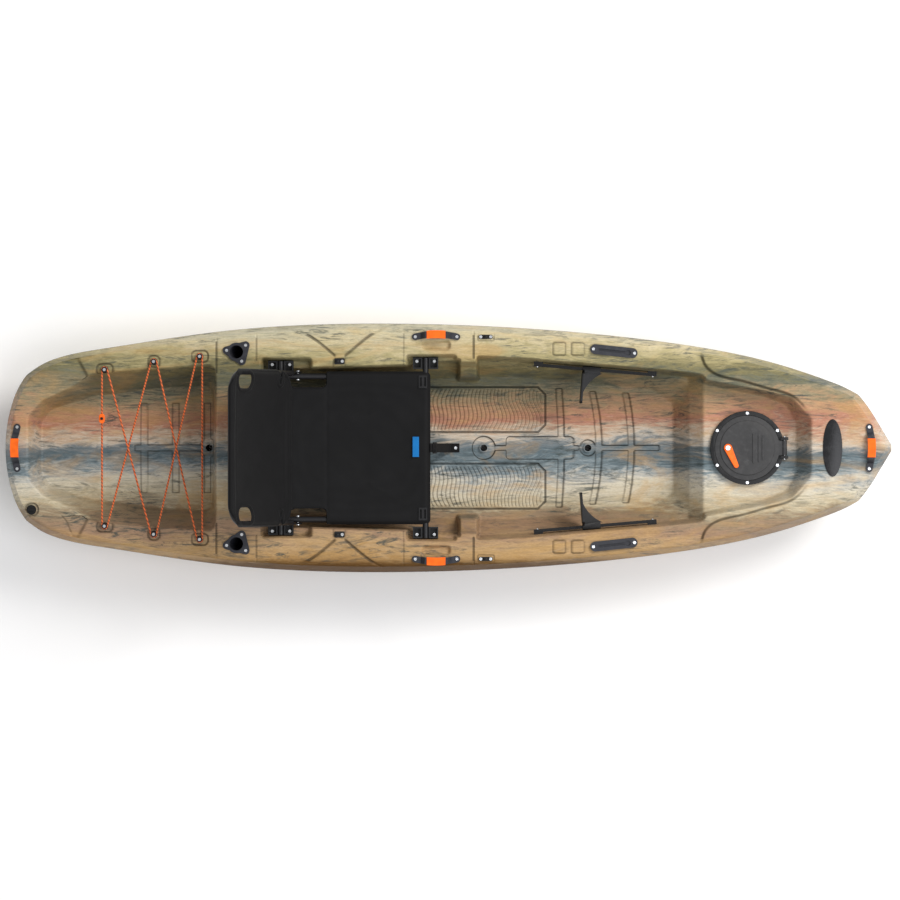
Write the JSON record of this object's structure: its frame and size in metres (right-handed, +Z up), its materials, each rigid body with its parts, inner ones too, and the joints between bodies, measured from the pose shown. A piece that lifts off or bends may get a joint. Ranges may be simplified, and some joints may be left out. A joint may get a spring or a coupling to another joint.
{
  "type": "fishing kayak",
  "caption": "Sit-on-top fishing kayak with two moulded shells, folding framed seat, sliding foot braces, hinged bow hatch, carry handles, rod holders and a laced tank well.",
  "frame": {"origin": "on the ground under the middle of the hull, centre of the bounding box at keel level", "axes": "+X to the bow, +Y to the left side, +Z up"},
  "size_m": [2.9498, 0.8279, 0.6654],
  "materials": {
    "camo_plastic": "semi-matte moulded plastic, streaked colours",
    "dark_plastic": "matte moulded",
    "black_plastic": "matte moulded",
    "lid_plastic": "fine textured",
    "orange_plastic": "satin moulded",
    "orange_rubber": "soft matte",
    "gasket_rubber": "matte",
    "badge_plastic": "plain gloss",
    "steel": "bright",
    "seat_tube": "black powder coat",
    "seat_fabric": "woven polyester",
    "webbing": "flat woven",
    "blue_tag": "woven",
    "bungee": "braided sheath",
    "foam": "cellular"
  },
  "bodies": {
    "kayak": {"accessory_track_left": "dark_plastic", "accessory_track_right": "dark_plastic", "bow_badge": "badge_plastic", "bow_handle_grip": "orange_rubber", "bow_handle_strap": "dark_plastic", "bungee_cord": "bungee", "bungee_hooks": "black_plastic", "deck": "camo_plastic", "drain_washer": "gasket_rubber", "foam_blocks": "foam", "foot_rail_left": "black_plastic", "foot_rail_right": "black_plastic", "foot_rail_screws": "steel", "handle_screws": "steel", "hatch_gasket": "gasket_rubber", "hatch_hinge_pin": "steel", "hatch_ring": "black_plastic", "hatch_screws": "steel", "hinge_washers": "black_plastic", "hook_screws": "steel", "hull": "camo_plastic", "left_handle_grip": "orange_rubber", "left_handle_strap": "dark_plastic", "pad_eye_screws": "steel", "pad_eyes": "black_plastic", "right_handle_grip": "orange_rubber", "right_handle_strap": "dark_plastic", "rod_holder_left": "dark_plastic", "rod_holder_right": "dark_plastic", "rod_holder_screws": "steel", "scupper_tubes": "camo_plastic", "seat_base_sling": "seat_fabric", "seat_bracket_screws": "steel", "seat_front_bar": "seat_tube", "seat_front_brackets": "black_plastic", "seat_hinge_pins": "steel", "seat_rear_bar": "seat_tube", "seat_rear_brackets": "black_plastic", "seat_side_rails": "seat_tube", "seat_strap": "webbing", "seat_strap_screw": "steel", "seat_tag": "blue_tag", "sling_buckles": "black_plastic", "stern_handle_grip": "orange_rubber", "stern_handle_strap": "dark_plastic", "strap_buckle": "black_plastic", "track_screws": "steel"},
    "seat_back": {"seat_back_frame": "seat_tube", "seat_back_sling": "seat_fabric"},
    "hatch_lid": {"hatch_lid": "lid_plastic", "latch_pivot": "steel"},
    "hatch_latch": {"hatch_latch": "orange_plastic"},
    "pedal_left": {"foot_pedal_left": "black_plastic"},
    "pedal_right": {"foot_pedal_right": "black_plastic"},
    "drain_plug": {"drain_plug": "gasket_rubber"},
    "cord_lock": {"cord_lock": "orange_plastic"},
    "cord_lock_button": {"cord_lock_button": "black_plastic"}
  },
  "joints": [
    {"name": "seat_back_fold", "type": "hinge", "parent": "kayak", "child": "seat_back", "pos_m": [-0.5, 0, 0.295], "axis": [0, 1, 0], "range_deg": [0, 90]},
    {"name": "hatch_lid_hinge", "type": "hinge", "parent": "kayak", "child": "hatch_lid", "pos_m": [1.119, 0, 0.264], "axis": [0, 1, 0], "range_deg": [0, 100]},
    {"name": "hatch_latch_turn", "type": "hinge", "parent": "hatch_lid", "child": "hatch_latch", "pos_m": [0.93, 0, 0.272], "axis": [0, 0, 1], "range_deg": [0, 130]},
    {"name": "pedal_slide_left", "type": "slide", "parent": "kayak", "child": "pedal_left", "axis": [0.9964, -0.0847, 0], "range_m": [-0.13, 0.15]},
    {"name": "pedal_slide_right", "type": "slide", "parent": "kayak", "child": "pedal_right", "axis": [0.9964, 0.0847, 0], "range_m": [-0.13, 0.15]},
    {"name": "drain_plug_turn", "type": "hinge", "parent": "kayak", "child": "drain_plug", "pos_m": [-1.382, -0.205, 0.33], "axis": [0, 0, 1], "range_deg": [0, 720]},
    {"name": "cord_lock_slide", "type": "slide", "parent": "kayak", "child": "cord_lock", "axis": [0, -0.9999, -0.0105], "range_m": [-0.11, 0.28]},
    {"name": "cord_lock_press", "type": "slide", "parent": "cord_lock", "child": "cord_lock_button", "axis": [0, 0, -1], "range_m": [0, 0.003], "stiffness_N_per_m": 500, "springref_m": -0.002}
  ]
}
